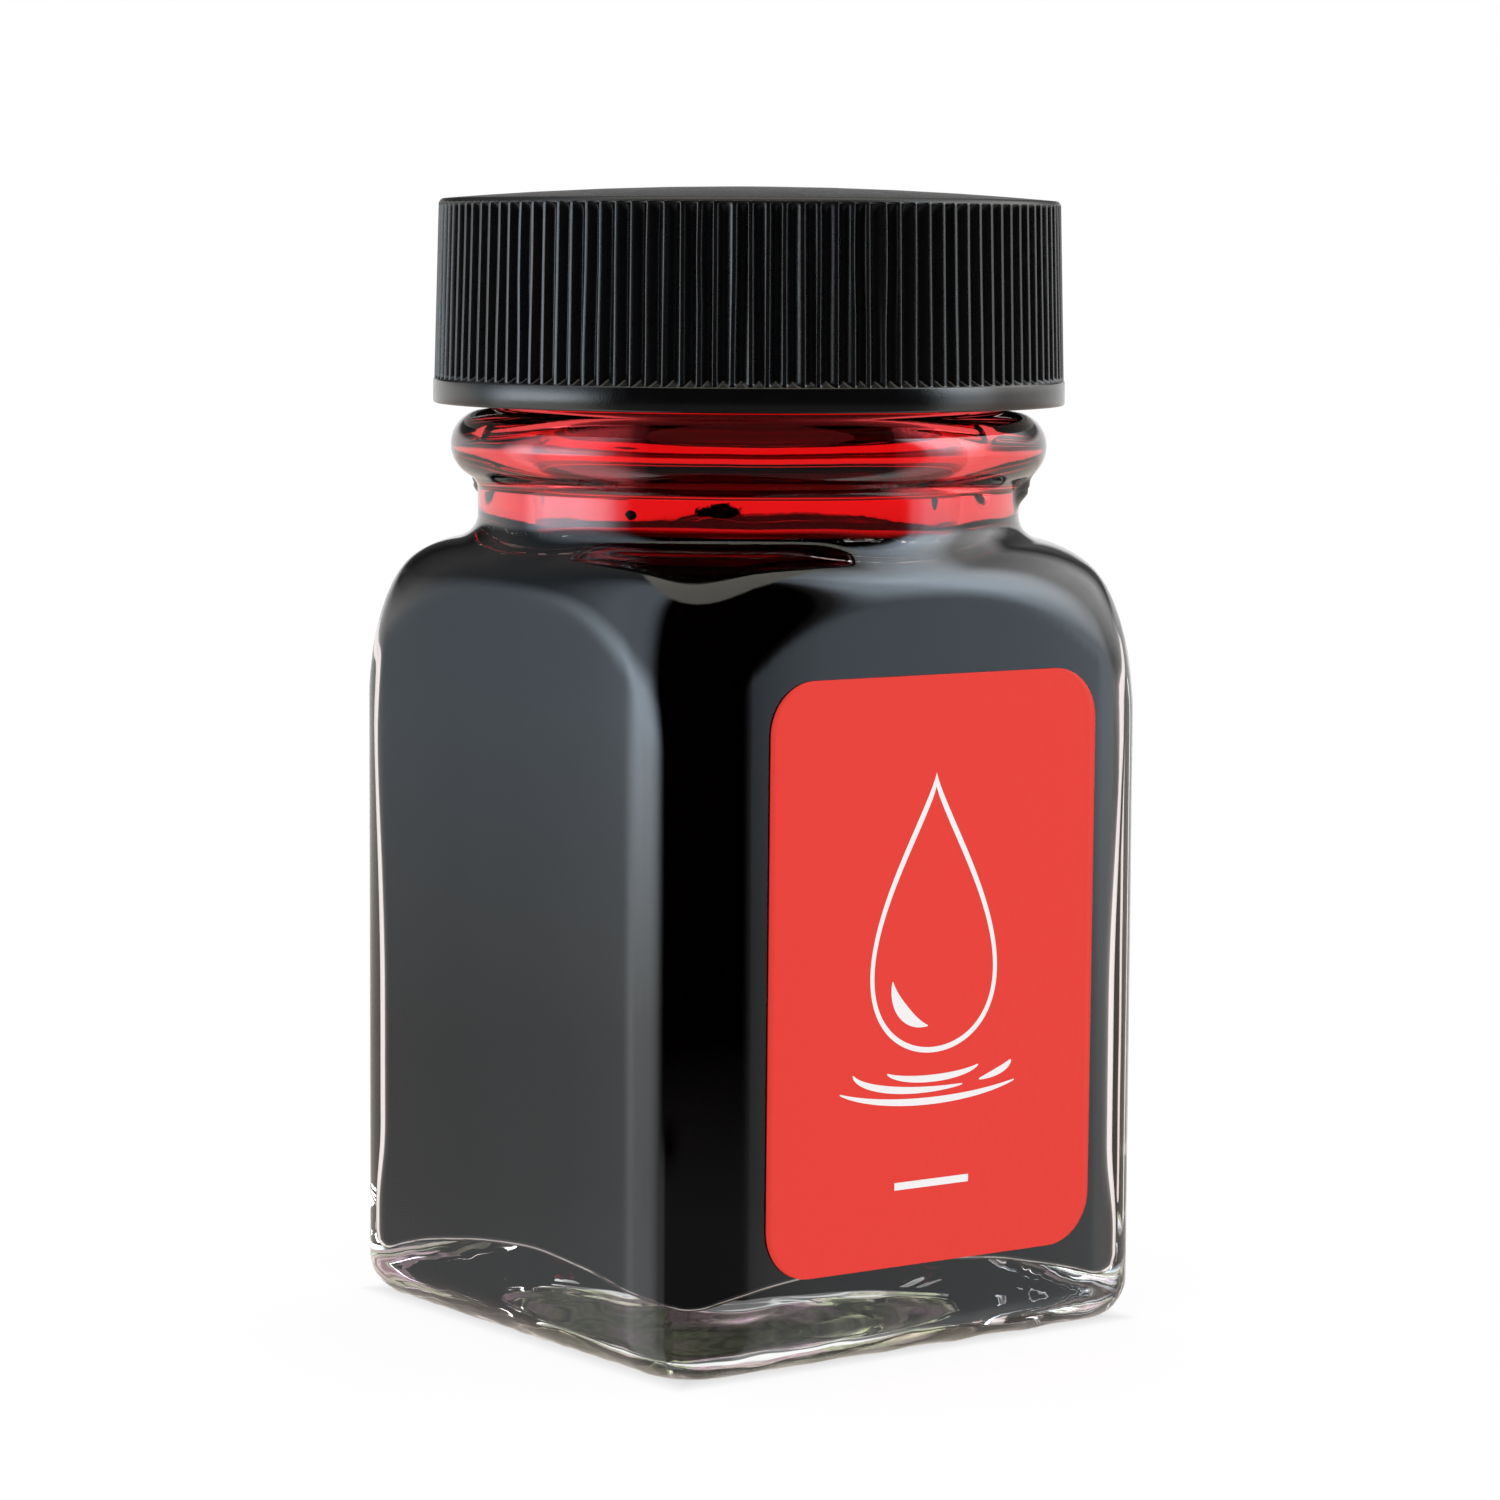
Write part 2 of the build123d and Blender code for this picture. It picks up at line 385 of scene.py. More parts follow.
def mix_colour(tree, factor, first, second, blend_type="MIX"):
    node = tree.nodes.new("ShaderNodeMix")
    node.data_type = "RGBA"
    node.blend_type = blend_type
    tree.links.new(factor, node.inputs["Factor"])
    feed(tree, node.inputs["A"], first)
    feed(tree, node.inputs["B"], second)
    return node.outputs["Result"]


def glass_material(name, colour):
    material, tree, shader = new_material(name)
    shader.inputs["Base Color"].default_value = (*colour, 1)
    shader.inputs["Transmission Weight"].default_value = 1.0
    shader.inputs["IOR"].default_value = GLASS_IOR
    shader.inputs["Roughness"].default_value = 0.0
    bump(tree, shader, noise(tree, 110, 1.0), 0.00001, 0.5)
    return material


def residue(tree, spots):
    """Specks of dried ink on the bore, with ragged edges."""
    edge = noise(tree, 1500, 3.0, 0.6)
    together = None
    for angle, z, width, depth in spots:
        away = tree.nodes.new("ShaderNodeMapping")
        away.vector_type = "TEXTURE"
        away.inputs["Location"].default_value = polar(BORE_R, math.radians(angle), z) * MM
        away.inputs["Scale"].default_value = (width / 2 * MM, width / 2 * MM, depth / 2 * MM)
        tree.links.new(own_place(tree), away.inputs["Vector"])
        length = vector_node(tree, "LENGTH", away.outputs["Vector"]).outputs["Value"]
        ragged = math_node(tree, "MULTIPLY_ADD", edge, 1.3, length)
        speck = remap(tree, ragged, 1.5, 1.65, 1, 0)
        together = speck if together is None else math_node(tree, "MAXIMUM", together, speck)
    return together


def film_material(name, colour):
    """Glass wetted by a film of ink: the film colours what passes and what the surface throws back."""
    material, tree, shader = new_material(name)
    tree.nodes.remove(shader)
    glass = tree.nodes.new("ShaderNodeBsdfGlass")
    height = split(tree, own_place(tree))["Z"]
    thick = remap(tree, height, THICK_FILM_Z * MM, (THICK_FILM_Z - 0.35) * MM, 0, 1)
    dark = math_node(tree, "MAXIMUM", residue(tree, DRIED_INK), thick)
    tree.links.new(mix_colour(tree, dark, colour, (0.003, 0.0005, 0.0005)), glass.inputs["Color"])
    glass.inputs["IOR"].default_value = GLASS_IOR
    glass.inputs["Roughness"].default_value = 0.0
    bump(tree, glass, noise(tree, 420, 3.0, stretch=(1, 1, 0.4)), 0.00005, 0.5)
    tree.links.new(glass.outputs["BSDF"], tree.nodes["Material Output"].inputs["Surface"])
    return material


def ink_material(name, colour, specular, roughness):
    material, tree, shader = new_material(name)
    cloud = remap(tree, noise(tree, 90, 3.0), 0.3, 0.7, 0, 1)
    dark = tuple(channel * 0.6 for channel in colour)
    tree.links.new(mix_colour(tree, cloud, dark, colour), shader.inputs["Base Color"])
    shader.inputs["Roughness"].default_value = roughness
    shader.inputs["IOR"].default_value = 1.33
    shader.inputs["Specular IOR Level"].default_value = specular
    return material


def ink_behind_glass(name, colour, mirror_colour=(0.97, 0.86, 0.84)):
    """Ink against glass: black, but a mirror for light that meets it at a flat angle."""
    material = ink_material(name, colour, 0.0, 0.5)
    tree = material.node_tree
    shader = tree.nodes["Principled BSDF"]
    mirror = tree.nodes.new("ShaderNodeBsdfGlossy")
    mirror.inputs["Color"].default_value = (*mirror_colour, 1)
    mirror.inputs["Roughness"].default_value = 0.02
    fresnel = tree.nodes.new("ShaderNodeFresnel")
    fresnel.inputs["IOR"].default_value = INK_TO_GLASS_IOR
    mix = tree.nodes.new("ShaderNodeMixShader")
    tree.links.new(remap(tree, fresnel.outputs["Fac"], 0.012, 1, 0, 1), mix.inputs["Fac"])
    tree.links.new(shader.outputs["BSDF"], mix.inputs[1])
    tree.links.new(mirror.outputs["BSDF"], mix.inputs[2])
    tree.links.new(mix.outputs["Shader"], tree.nodes["Material Output"].inputs["Surface"])
    return material


def ink_underside():
    """Underside of the ink on the glass floor, with painted light: streaks of bright purple and olive in
    its colour and its mirror's tint stand in for light from below that gets into it through the glass
    base.
    """
    material = ink_behind_glass("ink_floor_painted_light", (0.02, 0.014, 0.017))
    tree = material.node_tree
    shader = tree.nodes["Principled BSDF"]
    broad = remap(tree, noise(tree, 210, 5.0, 0.6, (1, 0.55, 1)), 0.42, 0.66, 0, 1)
    fine = remap(tree, noise(tree, 900, 6.0, 0.7, (1, 0.4, 1)), 0.35, 0.7, 0, 1)
    # Painted light: bright purple and olive streaks in the colour of near-black ink stand in for light
    # from below.
    purple = mix_colour(tree, fine, (0.19, 0.12, 0.15), (0.58, 0.40, 0.46))
    olive = mix_colour(tree, fine, (0.06, 0.06, 0.045), (0.30, 0.31, 0.20))
    tree.links.new(mix_colour(tree, broad, olive, purple), shader.inputs["Base Color"])
    mirror = tree.nodes["Glossy BSDF"]
    # Painted reflection: the mirror is tinted in the same purple and olive streaks.
    painted_olive_reflection = mix_colour(tree, fine, (0.26, 0.28, 0.18), (0.80, 0.84, 0.60))
    painted_purple_reflection = mix_colour(tree, fine, (0.42, 0.27, 0.35), (1.0, 0.74, 0.84))
    tree.links.new(mix_colour(tree, broad, painted_olive_reflection, painted_purple_reflection), mirror.inputs["Color"])
    tree.links.new(remap(tree, fine, 0.3, 0.7, 0.03, 0.22), mirror.inputs["Roughness"])
    return material


def cap_material():
    material, tree, shader = new_material("black_plastic")
    mottle = noise(tree, 700, 5.0)
    tree.links.new(
        mix_colour(tree, mottle, (0.0015, 0.0015, 0.0018), (0.0035, 0.0035, 0.004)),
        shader.inputs["Base Color"],
    )
    grain = remap(tree, noise(tree, 1500, 4.0), 0.3, 0.7, -0.035, 0.035)
    # The band is smoother than the ribs above it.
    height = split(tree, own_place(tree))["Z"]
    duller = remap(tree, height, (BAND_TOP_Z - 0.1) * MM, (BAND_TOP_Z + 0.3) * MM, 0.16, 0.29)
    tree.links.new(math_node(tree, "ADD", grain, duller), shader.inputs["Roughness"])
    shader.inputs["IOR"].default_value = 1.5
    shader.inputs["Specular Tint"].default_value = (1.0, 0.95, 0.89, 1)
    bump(tree, shader, noise(tree, 9000, 3.0), 0.000012, 0.5)
    return material


def label_material():
    material, tree, shader = new_material("red_label_paper")
    fibres = noise(tree, 3800, 5.0, stretch=(1, 1, 0.35))
    tree.links.new(
        mix_colour(tree, fibres, (0.775, 0.040, 0.028), (0.805, 0.048, 0.035)),
        shader.inputs["Base Color"],
    )
    tree.links.new(remap(tree, fibres, 0.3, 0.7, 0.42, 0.55), shader.inputs["Roughness"])
    shader.inputs["Specular IOR Level"].default_value = 0.2
    bump(tree, shader, fibres, 0.00001, 0.35)
    return material


def print_material():
    material, tree, shader = new_material("white_print")
    grain = noise(tree, 4500, 4.0)
    tree.links.new(
        mix_colour(tree, grain, (0.86, 0.82, 0.82), (0.95, 0.93, 0.93)),
        shader.inputs["Base Color"],
    )
    shader.inputs["Roughness"].default_value = 0.5
    shader.inputs["Specular IOR Level"].default_value = 0.25
    bump(tree, shader, grain, 0.000006, 0.3)
    return material


def foam_material():
    material, tree, shader = new_material("liner_foam")
    cells = noise(tree, 2600, 5.0)
    tree.links.new(
        mix_colour(tree, cells, (0.70, 0.66, 0.62), (0.86, 0.84, 0.80)),
        shader.inputs["Base Color"],
    )
    shader.inputs["Roughness"].default_value = 0.7
    bump(tree, shader, cells, 0.00004, 0.6)
    return material


# ---- glass bottle --------------------------------------------------------------------------------

def outside_field(p):
    """Outside of the glass body, up to the neck."""
    rho = np.hypot(p[..., 0], p[..., 1])
    z = p[..., 2]
    walls = soft_square(p, HALF, CORNER_R, CORNER_POWER) - FLAT_WAVES * ripple(p, 13, 3)
    along = np.abs(p[..., :2]).min(-1)
    walls += FLAT_CROWN * (along / HALF) ** 4
    # The mould's seam runs up the front and the back corner, from the base.
    off_seam = p[..., 0] * math.sin(SEAM_ANGLE) - p[..., 1] * math.cos(SEAM_ANGLE)
    seam = np.exp(-((off_seam / SEAM_WIDTH) ** 2)) * smoothstep(SEAM_TOP_Z, SEAM_TOP_Z - 1, z)
    walls -= SEAM_HEIGHT * seam * smoothstep(20.0, 20.3, rho) * smoothstep(0.3, 0.8, z)
    edge = SHOULDER_EDGE_R * smoothstep(33, 42, z) + 0.01
    body = round_max(walls, envelope(rho, z, SHOULDER_REACH, SHOULDER_R), edge)
    streaks = ripple(p * np.array([1, 1, 3.0]), 2.4, 17) * smoothstep(5, 1, z)
    body = round_max(body, FOOT_UNEVENNESS * (1 + streaks) - z, BASE_EDGE_R)
    neck = np.maximum(rho - NECK_R, SHOULDER_Z - z)
    return round_min(body, neck, NECK_FILLET_R)


def neck_field(p):
    """Outside of the neck, bead and threaded wall."""
    rho = np.hypot(p[..., 0], p[..., 1])
    z = p[..., 2]
    angle = np.arctan2(p[..., 1], p[..., 0])
    neck = np.maximum(rho - NECK_R, z - BEAD_CENTRE_Z)
    bead = np.hypot(rho - BEAD_CENTRE_R, z - BEAD_CENTRE_Z) - BEAD_R
    bead = np.where(rho < BEAD_CENTRE_R, np.abs(z - BEAD_CENTRE_Z) - BEAD_R, bead)
    thread = helix_height(angle, z, GLASS_THREAD_Z, 1.05, 0.42)
    wall = rho - FINISH_R - GLASS_THREAD_DEPTH * thread
    body = round_min(round_min(neck, bead, 0.55), wall, 0.35)
    off = np.radians(45) - np.mod(angle, math.pi) + math.pi / 2
    nub = np.exp(-((off * NECK_R / 0.85) ** 2) - ((z - NUB_Z) / 0.6) ** 2)
    return body - NUB_REACH * nub


def inside_field(p):
    """The cavity below the bore: negative where the ink is."""
    rho = np.hypot(p[..., 0], p[..., 1])
    z = p[..., 2]
    corner = INNER_CORNER_R * (1 - 0.42 * smoothstep(18, 37, z) - 0.3 * smoothstep(10, 5, z))
    walls = soft_square(p, HALF - WALL, corner, 2.0) - CAVITY_WAVES * ripple(p, 11, 5)
    edge = 1.6 * smoothstep(33, 42, z) + 0.01
    body = round_max(walls, envelope(rho, z, INNER_SHOULDER_REACH, INNER_SHOULDER_R), edge)
    floor = FLOOR_TOP_Z - rho**2 / (2 * FLOOR_DOME_R) + FLOOR_WAVES * ripple(p, 6, 9)
    floor -= FLOOR_TILT * (p[..., 0] + p[..., 1]) / math.sqrt(2)
    body = round_max(body, floor - z, FLOOR_EDGE_R)
    return round_min(body, np.maximum(rho - BORE_R, SHOULDER_Z - z), 0.6)


def cavity_rows(angle, grow):
    """Rows over the cavity's surface from the bore's foot down to the middle of the floor."""
    def field(p):
        return inside_field(p) - grow

    start_r = BORE_R - 0.4
    top_tilt = math.degrees(math.atan2(INK_LEVEL_Z - SHOULDER_Z, BORE_R - start_r))
    fractions = np.linspace(0, 1, 40) ** 1.5
    shoulder = cast(field, start_r, SHOULDER_Z, top_tilt * (1 - fractions), angle)
    walls = level_rows(field, np.linspace(SHOULDER_Z - 1, WALLS_FOOT_Z, 30), angle)
    wall_rho = np.hypot(walls[-1, :, 0], walls[-1, :, 1])
    foot = cast(field, wall_rho - 3.0, 8.5, np.linspace(-3, -90, 26), angle)
    foot_rho = np.hypot(foot[-1, :, 0], foot[-1, :, 1])
    floor = []
    for share in np.linspace(0.93, 0.06, 16):
        floor.append(cast(field, foot_rho * share, 20.0, [-90.0], angle)[0])
    rows = np.concatenate([shoulder, walls, foot, np.array(floor)])
    pole = rows[-1].mean(0) * np.array([0, 0, 1])
    return rows, pole


def build_glass(clear, film):
    angle = square_angles(HALF, CORNER_R, FLAT_STEPS, CORNER_STEPS)
    punt_sphere = (PUNT_R**2 + PUNT_DEPTH**2) / (2 * PUNT_DEPTH)
    wall_rho = np.hypot(*level_rows(outside_field, [20.0], angle)[0, :, :2].T)
    # Underside: the round recess, then the flat ring that the bottle stands on.
    base = []
    for share in np.linspace(0.08, 1, 9):
        rho = PUNT_R * share
        height = PUNT_DEPTH - (punt_sphere - math.sqrt(punt_sphere**2 - rho**2))
        ring = polar(rho, angle, height)
        ring[:, 2] += FOOT_UNEVENNESS * (1 + ripple(ring, 3.2, 21))
        base.append(ring)
    base.append(polar(PUNT_R + 0.25 * (wall_rho - 4.0 - PUNT_R), angle, 0.0))
    base_edge = cast(outside_field, wall_rho - 4.0, 4.0, np.linspace(-90, -3, 18), angle)
    walls = level_rows(outside_field, np.linspace(4.2, SHOULDER_Z - 0.6, 34), angle)
    start_r = SHOULDER_REACH - SHOULDER_R
    top_tilt = math.degrees(math.atan2(NECK_TOP_Z - SHOULDER_Z, NECK_R - start_r))
    tilts = top_tilt * (1 - (1 - np.linspace(0, 1, 60)) ** 1.6)
    shoulder = cast(outside_field, start_r, SHOULDER_Z, tilts, angle)
    heights = np.concatenate(
        [
            np.linspace(NECK_TOP_Z + 0.15, 47.5, 7),
            np.linspace(47.6, 52.5, 46),
            np.linspace(52.8, 54.4, 5),
            np.linspace(54.5, 61.3, 50),
        ]
    )
    neck = level_rows(neck_field, heights, angle)
    rim = turned(
        np.concatenate(
            [
                arc_profile(FINISH_R - RIM_R, FINISH_TOP_Z - RIM_R, RIM_R, 5, 90, 7),
                arc_profile(BORE_R + RIM_R, FINISH_TOP_Z - RIM_R, RIM_R, 90, 180, 7),
            ]
        ),
        angle,
    )
    bore_heights = np.linspace(FINISH_TOP_Z - RIM_R - 0.5, INK_LEVEL_Z + 0.3, 18)
    bore = polar(BORE_R, angle[None, :], bore_heights[:, None])
    bore[..., :2] *= 1 + 0.004 * ripple(bore, 9, 31)[..., None]
    cavity, floor_pole = cavity_rows(angle, 0.0)
    outer = [np.array(base), base_edge, walls, shoulder, neck, rim]
    rows = np.concatenate(outer + [bore, cavity])
    clear_rows = sum(len(part) for part in outer)
    slots = [0] * clear_rows + [1] * (len(bore) + 2) + [0] * (len(cavity) - 2)
    return closed_tube(
        "clear_bottle", rows, (0, 0, PUNT_DEPTH), floor_pole, [clear, film], slots
    )


def build_ink(body, surface, underside):
    angle = square_angles(HALF - WALL, INNER_CORNER_R, FLAT_STEPS, CORNER_STEPS)
    cavity, floor_pole = cavity_rows(angle, INK_OVERLAP)
    level = INK_LEVEL_Z
    edge = BORE_R + INK_OVERLAP
    top = []
    for share in (0.1, 0.35, 0.6, 0.8, 0.88, 0.92, 0.95, 0.975, 0.99, 1.0):
        climb = MENISCUS * math.exp(-(1 - share) * edge / MENISCUS_REACH)
        top.append(polar(edge * share, angle, level + climb))
    rows = np.concatenate([np.array(top), cavity])
    slots = [1] * len(top) + [0] * len(cavity)
    ink = closed_tube("ink_fill", rows, (0, 0, level), floor_pole, [body, surface, underside], slots)
    for face in ink.data.polygons:
        if face.normal.z < UNDERSIDE_TILT and face.center.z < WALLS_FOOT_Z * MM:
            face.material_index = 2
    return ink


# ---- cap and liner -------------------------------------------------------------------------------

# One rib from the crest on: place as a share of the step between ribs, and depth of the groove there
RIB_SAMPLES = (
    (-0.13, 0.04),
    (-0.10, 0.0),
    (-0.05, -0.012),
    (0.0, -0.015),
    (0.05, -0.012),
    (0.10, 0.0),
    (0.13, 0.04),
    (0.25, 0.40),
    (0.38, 0.82),
    (0.5, 1.0),
    (0.62, 0.82),
    (0.75, 0.40),
)


def build_cap(plastic):
    """Ribbed shell. The ribs stray a little, as moulded ones do."""
    step = 2 * math.pi / RIB_COUNT
    places = np.array([place for place, _ in RIB_SAMPLES])
    depths = np.tile([depth for _, depth in RIB_SAMPLES], RIB_COUNT)
    stray = np.repeat(rng.normal(0, 0.03, RIB_COUNT), len(places))
    lean = np.repeat(rng.normal(0, 0.035, RIB_COUNT), len(places))
    bend = np.repeat(rng.normal(0, 0.02, RIB_COUNT), len(places))
    shallow = np.repeat(rng.uniform(0.88, 1.05, RIB_COUNT), len(places))
    home = (np.repeat(np.arange(RIB_COUNT), len(places)) + np.tile(places, RIB_COUNT)) * step

    foot = np.linspace(BAND_TOP_Z, BAND_TOP_Z + RIB_FOOT, 7)
    head = np.linspace(RIB_TOP_Z - RIB_HEAD, RIB_TOP_Z, 9)
    middle = np.linspace(foot[-1] + 0.4, head[0] - 0.4, 12)
    lower_band = (
        (CAP_INNER_R + CAP_LIP, CAP_LOW.z),
        (BAND_R - 0.14, CAP_LOW.z),
        (BAND_R - 0.04, CAP_LOW.z + 0.04),
        (BAND_R, CAP_LOW.z + 0.14),
        (BAND_R, BAND_TOP_Z - 0.10),
        (BAND_R - 0.03, BAND_TOP_Z - 0.03),
    )
    rows = []
    for rho, z in lower_band:
        rows.append(polar(rho, home, z))
    for z in np.concatenate([foot, middle, head]):
        share = (z - foot[0]) / (head[-1] - foot[0])
        crest = RIB_FOOT_R + (RIB_HEAD_R - RIB_FOOT_R) * share
        ramp_up = np.clip((z - BAND_TOP_Z) / RIB_FOOT, 0, 1)
        run = np.clip((RIB_TOP_Z - z) / RIB_HEAD, 0, 1)
        ramp_down = math.sqrt(1 - (1 - run) ** 2)
        groove = np.minimum(depths * shallow, min(ramp_up, ramp_down))
        shift = stray + lean * (share - 0.5) + bend * math.sin(5 * share + 1)
        shift = np.clip(shift, -RIB_STRAY, RIB_STRAY)
        rows.append(polar(crest - RIB_DEPTH * groove, home + step * shift, z))
    edge = arc_profile(CAP_RIM_R, CAP_RIM_Z - 0.3, 0.3, 15, 78, 5)
    for rho, z in edge:
        rows.append(polar(rho, home, z))
    for share in (0.985, 0.95, 0.85, 0.7, 0.5, 0.3, 0.1):
        height = CAP_RIM_Z + (CAP_TOP_Z - CAP_RIM_Z) * (1 - share**2)
        rows.append(polar(CAP_RIM_R * share, home, height))
    outer = np.array(rows)
    columns = outer.shape[1]
    points = [outer.reshape(-1, 3), [(0, 0, CAP_TOP_Z)]]
    pole = outer.shape[0] * columns
    faces = grid_faces(outer.shape[0], columns)
    faces += fan_faces(pole - columns, columns, pole, False)

    inner_angle = np.linspace(0, 2 * math.pi, CAP_INNER_STEPS, endpoint=False)
    inner = [
        polar(CAP_INNER_R + CAP_LIP, inner_angle, CAP_LOW.z),
        polar(CAP_INNER_R, inner_angle, CAP_LOW.z + CAP_LIP),
    ]
    for z in np.linspace(CAP_LOW.z + 0.4, 59.6, 56):
        thread = helix_height(inner_angle, z, CAP_THREAD_Z, 0.72, 0.3)
        inner.append(polar(CAP_INNER_R - CAP_THREAD_DEPTH * thread, inner_angle, z))
    ceiling = (
        (CAP_INNER_R, 61.5),
        (CAP_INNER_R, CAP_CEILING_Z - 0.4),
        (CAP_INNER_R - 0.1, CAP_CEILING_Z - 0.1),
        (CAP_INNER_R - 0.4, CAP_CEILING_Z),
        (9.0, CAP_CEILING_Z),
        (1.0, CAP_CEILING_Z),
    )
    for rho, z in ceiling:
        inner.append(polar(rho, inner_angle, z))
    inner = np.array(inner)
    first = pole + 1
    points += [inner.reshape(-1, 3), [(0, 0, CAP_CEILING_Z)]]
    inner_pole = first + inner.shape[0] * CAP_INNER_STEPS
    # The inside faces the other way, so its quads are turned round.
    faces += [quad[::-1] for quad in grid_faces(inner.shape[0], CAP_INNER_STEPS, first)]
    faces += fan_faces(inner_pole - CAP_INNER_STEPS, CAP_INNER_STEPS, inner_pole, True)
    mesh = bpy.data.meshes.new("ribbed_cap")
    mesh.from_pydata((np.concatenate(points) * MM).tolist(), [], faces)
    mesh.materials.append(plastic)
    mesh.polygons.foreach_set("use_smooth", [True] * len(faces))
    obj = bpy.data.objects.new("ribbed_cap", mesh)
    bpy.context.scene.collection.objects.link(obj)
    return obj


def build_liner(foam):
    """Foam disc, its edge rounded, with the ring that the mouth has pressed into it."""
    angle = np.linspace(0, 2 * math.pi, 160, endpoint=False)
    radius = LINER_HIGH.x
    low, high = LINER_LOW.z, LINER_HIGH.z
    dent = []
    for rho in np.linspace(1, 15.4, 60):
        press = math.exp(-(((rho - MOUTH_RING_R) / 0.8) ** 4))
        dent.append((rho, low + MOUTH_RING_DEPTH * press))
    profile = np.concatenate(
        [
            dent,
            arc_profile(radius - 0.3, low + 0.3, 0.3, -90, 0, 5),
            arc_profile(radius - 0.3, high - 0.3, 0.3, 0, 90, 5),
            [(12, high), (1, high)],
        ]
    )
    return closed_tube("foam_liner", turned(profile, angle), (0, 0, low), (0, 0, high), [foam])


# ---- label ---------------------------------------------------------------------------------------

LABEL_X = (LABEL_LOW.x + LABEL_HIGH.x) / 2
LABEL_Z = (LABEL_LOW.z + LABEL_HIGH.z) / 2
LABEL_W = 22.7
LABEL_H = 32.8
LABEL_CORNER = 2.9
LABEL_TILT = math.radians(-0.3)
LABEL_GAP = 0.012  # between the paper's back and the glass
PAPER = 0.09


def label_height(u, v):
    """How far the paper rises: nearly flat, with two faint creases by its upper right corner."""
    across = (u - 8.2) * 0.75 + (v - 13.6) * 0.66
    along = (u - 8.2) - (v - 13.6)
    upper = 0.02 * np.exp(-(across**2) / 0.5 - along**2 / 9)
    across = (u - 9.0) * 0.5 + (v - 12.0) * 0.85
    lower = 0.008 * np.exp(-(across**2) / 0.3 - (u - 9.0) ** 2 / 5)
    return upper + lower


def label_points(u, v, above):
    """Points on the label from its own across and up, in millimetres."""
    x = LABEL_X + u * math.cos(LABEL_TILT) - v * math.sin(LABEL_TILT)
    z = LABEL_Z + u * math.sin(LABEL_TILT) + v * math.cos(LABEL_TILT)
    return np.stack([x, -HALF - LABEL_GAP - above, z], -1)


def build_label(paper):
    """Paper sheet with rounded corners, as a closed thin solid."""
    inset = np.linspace(0, math.pi / 2, 12)
    bend = LABEL_H / 2 - LABEL_CORNER * (1 - np.sin(inset))
    v = np.concatenate([-bend[::-1], np.linspace(-bend[0], bend[0], 48)[1:-1], bend])
    over = np.maximum(np.abs(v) - (LABEL_H / 2 - LABEL_CORNER), 0)
    half = LABEL_W / 2 - LABEL_CORNER + np.sqrt(np.maximum(LABEL_CORNER**2 - over**2, 0))
    u = np.linspace(-1, 1, 56)[None, :] * half[:, None]
    v = np.broadcast_to(v[:, None], u.shape)
    front = label_points(u, v, PAPER + label_height(u, v))
    back = label_points(u, v, 0 * u)
    rows, columns = u.shape
    count = rows * columns
    faces = []
    for row in range(rows - 1):
        for column in range(columns - 1):
            a = row * columns + column
            quad = [a, a + 1, a + columns + 1, a + columns]
            faces.append(quad)
            faces.append([index + count for index in quad[::-1]])
    ring = list(range(columns)) + [row * columns + columns - 1 for row in range(1, rows)]
    ring += [(rows - 1) * columns + column for column in range(columns - 2, -1, -1)]
    ring += [row * columns for row in range(rows - 2, 0, -1)]
    for a, b in zip(ring, ring[1:] + ring[:1]):
        faces.append([b, a, a + count, b + count])
    points = np.concatenate([front.reshape(-1, 3), back.reshape(-1, 3)])
    return make_object("label_sheet", points, faces, [paper])


def band(first, second, closed=False):
    """Raised flat strip between two lines on the label, as points and faces."""
    rings = []
    for edge, above in ((first, 0.004), (first, 0.014), (second, 0.014), (second, 0.004)):
        lift = PAPER + label_height(edge[:, 0], edge[:, 1]) + above
        rings.append(label_points(edge[:, 0], edge[:, 1], lift))
    points = np.stack(rings, 1)
    count = len(first)
    faces = grid_faces(count, 4)
    if closed:
        last = (count - 1) * 4
        faces += [[last + side, last + (side + 1) % 4, (side + 1) % 4, side] for side in range(4)]
    else:
        faces += [[3, 2, 1, 0], [4 * count - 4 + side for side in range(4)]]
    return points.reshape(-1, 3), faces


def stroke(line, widths):
    """Strip of the given widths along a line on the label."""
    line = np.asarray(line, float)
    along = np.gradient(line, axis=0)
    along /= np.linalg.norm(along, axis=1, keepdims=True)
    across = np.stack([-along[:, 1], along[:, 0]], -1)
    across *= np.broadcast_to(widths, len(line))[:, None] / 2
    return band(line + across, line - across)


def drop_line(width, height, middle):
    """Closed outline of a drop with its tip at the top."""
    turn = np.linspace(0, 2 * math.pi, 120, endpoint=False)
    across = width * np.sin(turn) * np.sin(turn / 2) ** 1.5
    return np.stack([across, middle + height / 2 * np.cos(turn)], -1)


def build_print(white):
    """Plain artwork: an outlined drop over ripples, and a short rule."""
    taper = np.sin(np.linspace(0, math.pi, 48))
    strips = [band(drop_line(6.35, 15.6, 3.2), drop_line(5.95, 14.55, 2.98), closed=True)]
    gleam = np.radians(np.linspace(185, 262, 48))
    gleam = np.stack([2.9 * np.cos(gleam), -0.2 + 2.9 * np.sin(gleam)], -1)
    strips.append(stroke(gleam, 0.06 + 0.75 * taper))
    for half_width, half_height, start, end in (
        (3.4, 0.75, 200, 340),
        (5.6, 1.35, 186, 292),
        (5.6, 1.35, 306, 352),
        (7.8, 2.0, 214, 318),
    ):
        sweep = np.radians(np.linspace(start, end, 48))
        line = np.stack([half_width * np.cos(sweep), -5.3 + half_height * np.sin(sweep)], -1)
        strips.append(stroke(line, 0.06 + 0.34 * taper**0.7))
    rule = np.stack([np.linspace(-2.6, 2.6, 12), np.full(12, -11.9)], -1)
    strips.append(stroke(rule, 0.42))
    points, faces = [], []
    for strip_points, strip_faces in strips:
        faces += [[index + len(points) for index in face] for face in strip_faces]
        points += strip_points.tolist()
    artwork = make_object("label_print", points, faces, [white])
    artwork.data.polygons.foreach_set("use_smooth", [False] * len(faces))
    return artwork


# ---- stage, light and camera ---------------------------------------------------------------------

